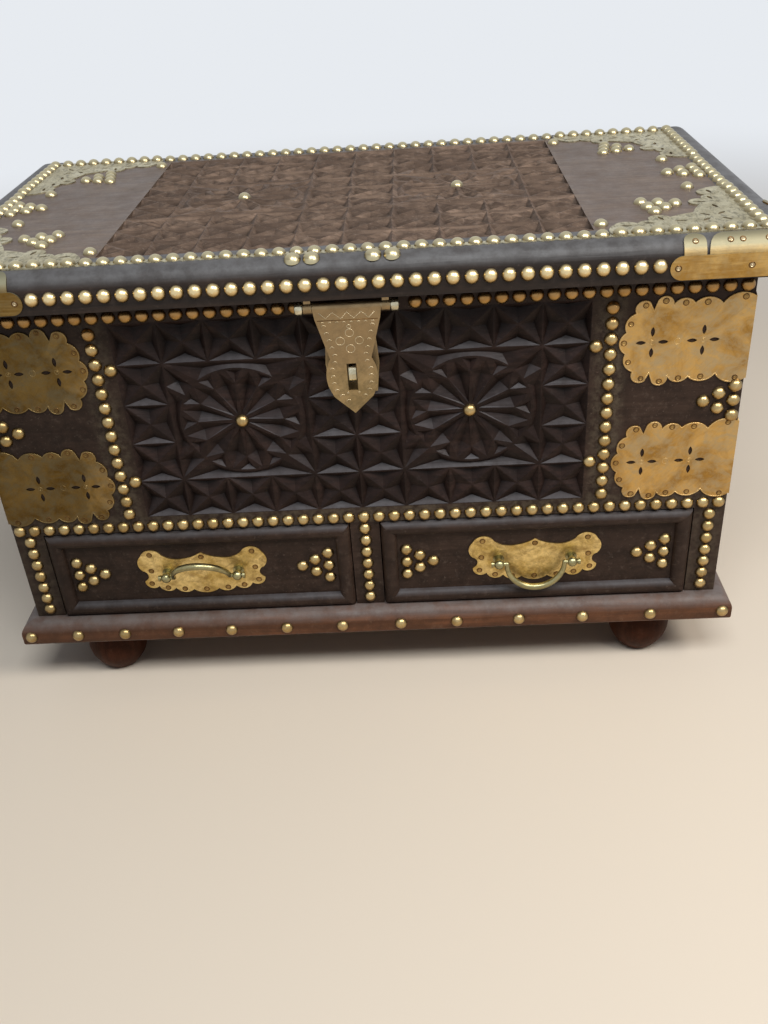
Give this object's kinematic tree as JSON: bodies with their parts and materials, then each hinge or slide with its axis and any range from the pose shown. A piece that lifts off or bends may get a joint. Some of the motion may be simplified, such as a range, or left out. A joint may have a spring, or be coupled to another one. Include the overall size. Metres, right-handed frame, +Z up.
{
  "type": "dowry chest",
  "caption": "Small studded wooden chest on ball feet, with a hinged lid, carved front, brass plates and hasp, and drawers below.",
  "frame": {"origin": "middle of the overall box's footprint, on the surface that the feet stand on", "axes": "+X to the right as one faces the front, +Y towards the back, +Z up"},
  "size_m": [0.545, 0.3036, 0.3334],
  "materials": {
    "case_wood": "dark stained hardwood, worn and dusty, satin",
    "carved_wood": "chip-carved dark stained hardwood, satin on its ridges",
    "lid_carved_wood": "chip-carved brown hardwood, dry and worn",
    "lid_top_wood": "grey-brown hardwood, rubbed smooth",
    "lid_edge_wood": "dark polished hardwood with a cool sheen",
    "plinth_wood": "dark red-brown hardwood, worn",
    "foot_wood": "turned dark hardwood",
    "inner_wood": "plain brown wood, unpolished",
    "stud_brass": "bright domed brass",
    "plate_brass": "hammered aged brass with dark stains",
    "pale_brass": "dull pale yellow-grey brass",
    "hasp_brass": "punched old brass, brown patina",
    "bail_brass": "cast brass, greenish",
    "hinge_brass": "plain rolled brass"
  },
  "bodies": {
    "case": {"base_board": "inner_wood", "plinth_front": "plinth_wood", "plinth_back": "plinth_wood", "plinth_left": "plinth_wood", "plinth_right": "plinth_wood", "feet": "foot_wood", "side_board_left": "case_wood", "side_board_right": "case_wood", "front_board": "case_wood", "back_board": "case_wood", "chest_floor": "inner_wood", "drawer_divider": "case_wood", "drawer_stiles": "case_wood", "drawer_guides": "inner_wood", "front_carved_panel": "carved_wood", "corner_plates_upper": "plate_brass", "corner_plates_lower": "plate_brass", "case_row_studs": "stud_brass", "case_accent_studs": "stud_brass", "plinth_studs": "stud_brass", "hasp_back_plate": "hasp_brass", "hasp_staple": "hasp_brass", "hinge_case_leaves": "hinge_brass", "hinge_pins": "hinge_brass"},
    "lid": {"lid_board": "lid_top_wood", "lid_moulding_front": "lid_edge_wood", "lid_moulding_left": "lid_edge_wood", "lid_moulding_right": "lid_edge_wood", "lid_moulding_back": "lid_edge_wood", "lid_carved_panel": "lid_carved_wood", "lid_fretwork_front": "pale_brass", "lid_fretwork_back": "pale_brass", "lid_strap_left": "plate_brass", "lid_strap_right": "plate_brass", "lid_top_studs": "stud_brass", "lid_front_studs": "stud_brass", "lid_accent_studs": "stud_brass", "hasp_eyes": "hasp_brass", "hasp_bar": "hasp_brass", "hinge_lid_leaves": "hinge_brass"},
    "hasp": {"hasp_plate": "hasp_brass"},
    "drawer_left": {"drawer_left_front": "case_wood", "drawer_left_moulding": "case_wood", "drawer_left_sides": "inner_wood", "drawer_left_back": "inner_wood", "drawer_left_bottom": "inner_wood", "drawer_left_handle_plate": "plate_brass", "drawer_left_handle_posts": "bail_brass", "drawer_left_studs": "stud_brass"},
    "bail_left": {"drawer_left_bail": "bail_brass"},
    "drawer_right": {"drawer_right_front": "case_wood", "drawer_right_moulding": "case_wood", "drawer_right_sides": "inner_wood", "drawer_right_back": "inner_wood", "drawer_right_bottom": "inner_wood", "drawer_right_handle_plate": "plate_brass", "drawer_right_handle_posts": "bail_brass", "drawer_right_studs": "stud_brass"},
    "bail_right": {"drawer_right_bail": "bail_brass"}
  },
  "joints": [
    {"name": "lid_open", "type": "hinge", "parent": "case", "child": "lid", "pos_m": [0, 0.1486, 0.30425], "axis": [-1, 0, 0], "range_deg": [0, 100]},
    {"name": "hasp_swing", "type": "hinge", "parent": "lid", "child": "hasp", "pos_m": [0.001, -0.1377, 0.2965], "axis": [-1, 0, 0], "range_deg": [-5, 105]},
    {"name": "drawer_left_slide", "type": "slide", "parent": "case", "child": "drawer_left", "axis": [0, -1, 0], "range_m": [0, 0.18]},
    {"name": "drawer_right_slide", "type": "slide", "parent": "case", "child": "drawer_right", "axis": [0, -1, 0], "range_m": [0, 0.18]},
    {"name": "bail_left_swing", "type": "hinge", "parent": "drawer_left", "child": "bail_left", "pos_m": [-0.11965, -0.1339, 0.0975], "axis": [-1, 0, 0], "range_deg": [-145, 25]},
    {"name": "bail_right_swing", "type": "hinge", "parent": "drawer_right", "child": "bail_right", "pos_m": [0.11965, -0.1339, 0.0975], "axis": [-1, 0, 0], "range_deg": [0, 170]}
  ]
}
